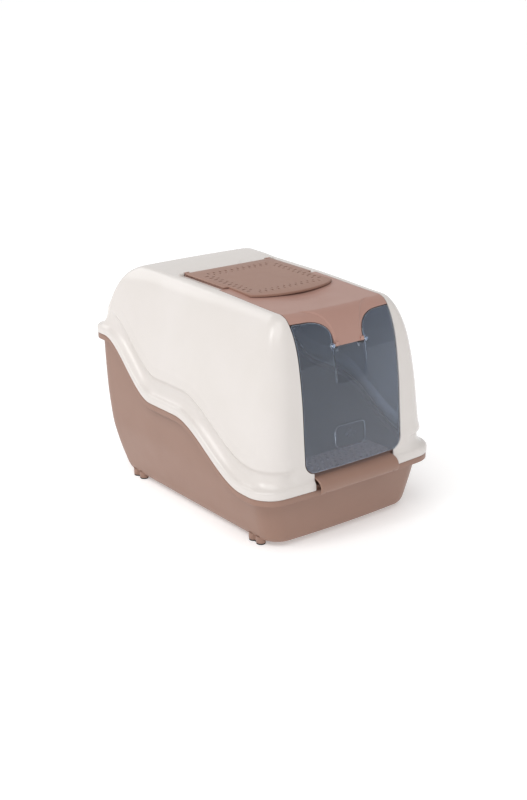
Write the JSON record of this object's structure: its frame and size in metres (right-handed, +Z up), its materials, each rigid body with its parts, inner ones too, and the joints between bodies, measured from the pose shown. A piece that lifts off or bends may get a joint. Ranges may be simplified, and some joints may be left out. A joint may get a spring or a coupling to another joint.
{
  "type": "cat litter box with hood",
  "caption": "Hooded cat litter box: deep tray with a wave-shaped rim, lift-off hood, tip-back front flap, swinging clear door, lidded carbon filter pocket and perforated entry step.",
  "frame": {"origin": "on the floor, under the middle of the footprint", "axes": "+Z up, -Y out of the front door, +X to the right of a person looking along +Y"},
  "size_m": [0.39, 0.54, 0.4026],
  "materials": {
    "taupe_plastic": "moulded, satin",
    "white_plastic": "moulded, soft gloss",
    "smoked_clear": "clear smoke-blue plastic, polished",
    "foot_rubber": "matte",
    "carbon_foam": "open foam",
    "pin_plastic": "moulded"
  },
  "bodies": {
    "tray_body": {"tray": "taupe_plastic", "foot_pad_front_left": "foot_rubber", "foot_pad_front_right": "foot_rubber", "foot_pad_rear_left": "foot_rubber", "foot_pad_rear_right": "foot_rubber", "entry_step": "taupe_plastic"},
    "hood_body": {"hood": "white_plastic", "hinge_pin_left": "pin_plastic", "hinge_pin_right": "pin_plastic"},
    "flap_body": {"front_flap": "taupe_plastic", "carbon_filter": "carbon_foam", "door_pin_left": "pin_plastic", "door_pin_right": "pin_plastic"},
    "cover_body": {"filter_cover": "taupe_plastic"},
    "door_body": {"door": "smoked_clear"}
  },
  "joints": [
    {"name": "hood_lift", "type": "slide", "parent": "tray_body", "child": "hood_body", "axis": [0, 0, 1], "range_m": [0, 0.3]},
    {"name": "flap_hinge", "type": "hinge", "parent": "hood_body", "child": "flap_body", "pos_m": [0, 0.104, 0.4], "axis": [-1, 0, 0], "range_deg": [0, 100]},
    {"name": "cover_hinge", "type": "hinge", "parent": "flap_body", "child": "cover_body", "pos_m": [0, 0.104, 0.4], "axis": [-1, 0, 0], "range_deg": [0, 68]},
    {"name": "door_swing", "type": "hinge", "parent": "flap_body", "child": "door_body", "pos_m": [0, -0.23, 0.336], "axis": [1, 0, 0], "range_deg": [-60, 60]}
  ]
}
